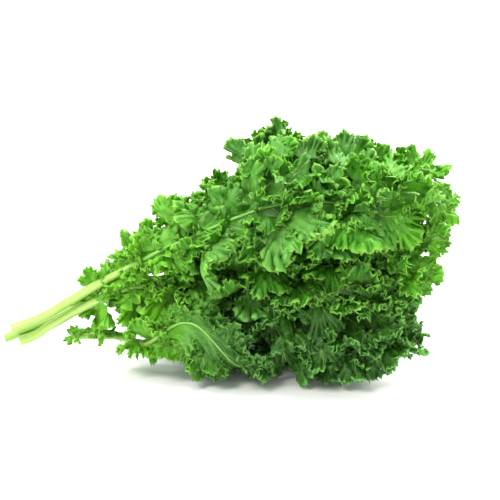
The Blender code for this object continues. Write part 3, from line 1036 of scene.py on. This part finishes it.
def blade_green(n, at, shaded, tone, glaucous):
    """The green between the veins: painted shade in the folds and at the lower right, painted light on the
    upper tips, lime at the left that is partly a painted backlit glow, and bluish underneath.
    """
    lightness = n.plus(n.ramp(at["large"], 0.35, 0.68, -0.15, 0.30), n.ramp(at["shade"], 0.0, 0.75))
    lightness = n.times(lightness, 0.78, clamp=True)
    green = n.mix(lightness, toned(DEEP_GREEN, tone), toned(FRESH_GREEN, tone))
    # Painted shade: darker towards the midrib and the roots of the lobes, in the folds.
    green = n.mix(n.ramp(at["share"], 0.85, 0.15, 0.0, 0.35), green, FOLD_GREEN)
    green = n.mix(n.ramp(at["shade"], 0.74, 0.95), green, PALE_GREEN)
    green = n.mix(n.ramp(at["small"], 0.35, 0.75, 0.0, 0.30), green, FLECK_GREEN)
    # Lime at the left: partly the new leaves' own colour, partly a painted glow of backlit leaves.
    young = n.ramp(at["reach"], *YOUNG_STATIONS, 0.0, 0.90)
    # Painted light: lime on the upper tips at the right.
    lit_tips = n.ramp(at["reach"], *LIT_TIP_STATIONS, 0.0, 0.55)
    lit_tips = n.times(lit_tips, n.ramp(at["height"], *LIT_TIP_HEIGHTS))
    green = n.mix(n.larger(young, lit_tips), green, LIME_GREEN)
    # Painted shade over the lower right.
    green = n.mix(shaded, green, SHADED_GREEN)
    bluish = n.mix(n.ramp(at["large"], 0.3, 0.7), *UNDERSIDE_GREENS)
    return n.mix(n.times(at["under"], glaucous), green, bluish)


def vein_lines(n, at, bent, slant, pitch, outside, inside):
    """Lines that leave the midrib at a slant, one in each pitch. outside and inside are shares of it."""
    slanted = n.plus(at["along"], n.times(at["distance"], slant))
    steps = n.math("DIVIDE", n.plus(slanted, bent), pitch)
    offset = n.math("ABSOLUTE", n.math("SUBTRACT", n.math("FRACT", steps), 0.5))
    return n.ramp(offset, outside, inside)


def blade_veins(n, at):
    """Midrib, side veins slanting towards the tip, finer ones the other way, and the net between them."""
    bent = n.times(n.noise(at["spot"], 60.0, 1.0), 0.006)
    side_vein = vein_lines(n, at, bent, -0.75, SIDE_VEIN_PITCH, 0.060, 0.015)
    side_vein = n.times(side_vein, n.ramp(at["share"], 0.95, 0.55))
    midrib = n.ramp(at["distance"], 0.0018, 0.0008)
    branch = n.times(vein_lines(n, at, bent, 0.9, BRANCH_PITCH, 0.085, 0.02), 0.35)
    net = n.ramp(n.cells(at["spot"], 330.0), 0.10, 0.02, 0.0, 0.30)
    return n.larger(n.larger(side_vein, midrib), n.larger(net, branch))


def let_light_through(n, colour, normal):
    """Mixes a translucent shader with the blade's own, so that light from behind shows in it."""
    through = n.make("BsdfTranslucent", {"Color": n.mix(0.45, colour, THROUGH_GREEN), "Normal": normal})
    blend = n.make("MixShader", {"Fac": 0.38, 1: n.shader.outputs[0], 2: through.outputs[0]})
    n.link(blend.outputs[0], n.output.inputs["Surface"])


def blade_material(name, tone, glaucous):
    """Waxy green blade: pale veins, a pale rim that is partly a painted highlight, painted shade at the lower
    right, a duller blue-green underside, and light that comes through.
    """
    n = Nodes(name)
    at = blade_places(n)
    # Painted shade: a mask that darkens the blades low down and towards the right.
    shaded = n.times(n.ramp(at["height"], *SHADED_HEIGHTS, 0.0, 0.78), n.ramp(at["reach"], *SHADED_STATIONS))
    veins = blade_veins(n, at)
    colour = n.mix(n.times(veins, 0.75), blade_green(n, at, shaded, tone, glaucous), VEIN_GREEN)
    # Pale rim, partly the leaf's own margin and partly a painted highlight, in a darker green within the
    # painted shade.
    rim = n.times(n.ramp(at["share"], 0.93, 1.0), n.ramp(at["large"], 0.30, 0.65, 0.30, 0.85))
    colour = n.mix(rim, colour, n.mix(shaded, *RIM_GREENS))
    rough = n.plus(n.ramp(at["small"], 0.3, 0.8, 0.30, 0.46), n.times(at["under"], 0.12))
    n.fill(n.shader, {
        "Base Color": colour,
        "Roughness": rough,
        "Specular IOR Level": 0.40,
        "Coat Weight": 0.05,
        "Coat Roughness": 0.28,
    })
    height = n.math("SUBTRACT", n.times(at["small"], 0.45), n.times(veins, 0.8))
    let_light_through(n, colour, n.bump(height, 0.55, 0.0006))
    return n.material


def stem_material(name, warmth):
    """Smooth pale yellow-green stem, paler on its groove side partly as a painted highlight, with fine
    lengthwise fibres and a moist, paler cut end.
    """
    n = Nodes(name)
    along, turn, kind = n.split(n.attribute("place", "Vector"))
    round_stem = [n.times(n.math(wave, turn), 2.6) for wave in ("SINE", "COSINE")]
    fibres = n.noise(n.join(n.times(along, 22.0), *round_stem), 3.0, 5.0, 0.65)
    cloud = n.noise(n.object_place(), 45.0, 3.0)
    pale = (0.35, 0.50, 0.110 - 0.020 * warmth)
    # Paler towards the groove side: partly the stem's own paler inner side, partly a painted highlight.
    lit = n.ramp(n.math("SINE", turn), -0.4, 0.9, 0.75, 0.0)
    colour = n.mix(n.plus(lit, n.ramp(cloud, 0.35, 0.75, 0.0, 0.25)), pale, STEM_GREEN)
    colour = n.mix(n.ramp(fibres, 0.45, 0.75, 0.0, 0.40), colour, FIBRE_GREEN)
    greener = n.larger(n.ramp(along, 0.07, 0.19, 0.0, 0.75), n.ramp(kind, 0.10, 0.50, 0.0, 0.85))
    colour = n.mix(greener, colour, MIDRIB_GREEN)
    colour = n.mix(n.times(n.ramp(kind, 0.60, 0.95), 0.85), colour, CUT_END_COLOUR)
    n.fill(n.shader, {
        "Base Color": colour,
        "Roughness": n.ramp(fibres, 0.3, 0.8, 0.28, 0.46),
        "Specular IOR Level": 0.5,
        "Subsurface Weight": 0.25,
        "Subsurface Radius": Vector((0.0035, 0.0045, 0.0012)),
        "Subsurface Scale": 1.0,
        "Coat Weight": 0.40,
        "Coat Roughness": 0.22,
    })
    n.bump(fibres, 0.35, 0.0005)
    return n.material


def floor_material():
    n = Nodes("pale_floor")
    grain = n.noise(n.object_place(), 3.0, 2.0)
    colour = n.mix(n.ramp(grain, 0.3, 0.7), *FLOOR_GREYS)
    n.fill(n.shader, {"Base Color": colour, "Roughness": 0.55, "Specular IOR Level": 0.25})
    return n.material


def make_floor():
    """Plain pale floor."""
    mesh = bpy.data.meshes.new("floor")
    shape = bmesh.new()
    bmesh.ops.create_grid(shape, x_segments=8, y_segments=8, size=3.0)
    shape.to_mesh(mesh)
    shape.free()
    floor = bpy.data.objects.new("floor", mesh)
    floor.location = (0, 0, -0.0002)
    mesh.materials.append(floor_material())
    bpy.context.scene.collection.objects.link(floor)
    floor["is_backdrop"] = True


# Each light's name, place, size, power and colour. All of them point at the middle of the bunch.
LIGHTS = (
    ("key", (-0.7, -0.9, 1.3), 0.6, 19.0, (1.0, 0.99, 0.94)),
    ("back", (0.9, 1.0, 0.95), 1.3, 56.0, (1.0, 1.0, 0.94)),
    ("top", (-0.2, 0.1, 1.5), 0.5, 22.0, (1.0, 1.0, 1.0)),
)
LIT_MIDDLE = (0.0, 0.0, 0.09)
SURROUND_STRENGTH = 1.08


def area_light(name, place, size, power, colour):
    data = bpy.data.lights.new(name, "AREA")
    data.shape = "DISK"
    data.size = size
    data.energy = power
    data.color = colour
    light = bpy.data.objects.new(name, data)
    light.location = place
    light.rotation_euler = (Vector(LIT_MIDDLE) - Vector(place)).to_track_quat("-Z", "Y").to_euler()
    bpy.context.scene.collection.objects.link(light)


def make_light():
    """Soft white studio: an even pale surround, a large key at the upper left and one from behind."""
    world = bpy.data.worlds.new("studio")
    world.use_nodes = True
    background = world.node_tree.nodes["Background"]
    background.inputs["Color"].default_value = (1.0, 1.0, 1.0, 1)
    background.inputs["Strength"].default_value = SURROUND_STRENGTH
    bpy.context.scene.world = world
    for light in LIGHTS:
        area_light(*light)


# The photograph's view: its frame is 500 pixels wide, and the bunch spans 458 of them.
FRAME_PIXELS = 500
BUNCH_PIXELS = 458
BUNCH_LENGTH = 0.380
CAMERA_DISTANCE = 1.25
CAMERA_LIFT = math.radians(15)
AIM = (0.0199, 0.0, 0.0955)
SENSOR = 36.0


def make_camera():
    data = bpy.data.cameras.new("camera")
    data.sensor_width = SENSOR
    seen = BUNCH_LENGTH * FRAME_PIXELS / BUNCH_PIXELS
    data.lens = SENSOR * CAMERA_DISTANCE / seen
    data.clip_start = 0.05
    camera = bpy.data.objects.new("camera", data)
    away = Vector((0, -math.cos(CAMERA_LIFT), math.sin(CAMERA_LIFT)))
    camera.location = Vector(AIM) + away * CAMERA_DISTANCE
    camera.rotation_euler = (-away).to_track_quat("-Z", "Y").to_euler()
    bpy.context.scene.collection.objects.link(camera)
    bpy.context.scene.camera = camera


def main():
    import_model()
    solid_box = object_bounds()
    bpy.context.scene.view_settings.view_transform = "Standard"
    make_camera()
    make_floor()
    make_light()
    blades = {
        "fresh": blade_material("kale_blade_fresh", 1.0, 0.30),
        "deep": blade_material("kale_blade_deep", 0.72, 0.35),
        "glaucous": blade_material("kale_blade_glaucous", 0.9, 0.60),
    }
    stems = [stem_material("kale_stem_pale", 0.0), stem_material("kale_stem_warm", 1.0)]
    for number, row in enumerate(LEAVES):
        make_blade(row, number, blades[row["look"]])
        make_stem(row, number, stems[number % len(stems)])
    boxes = {"solids": solid_box, "visual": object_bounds()}


main()
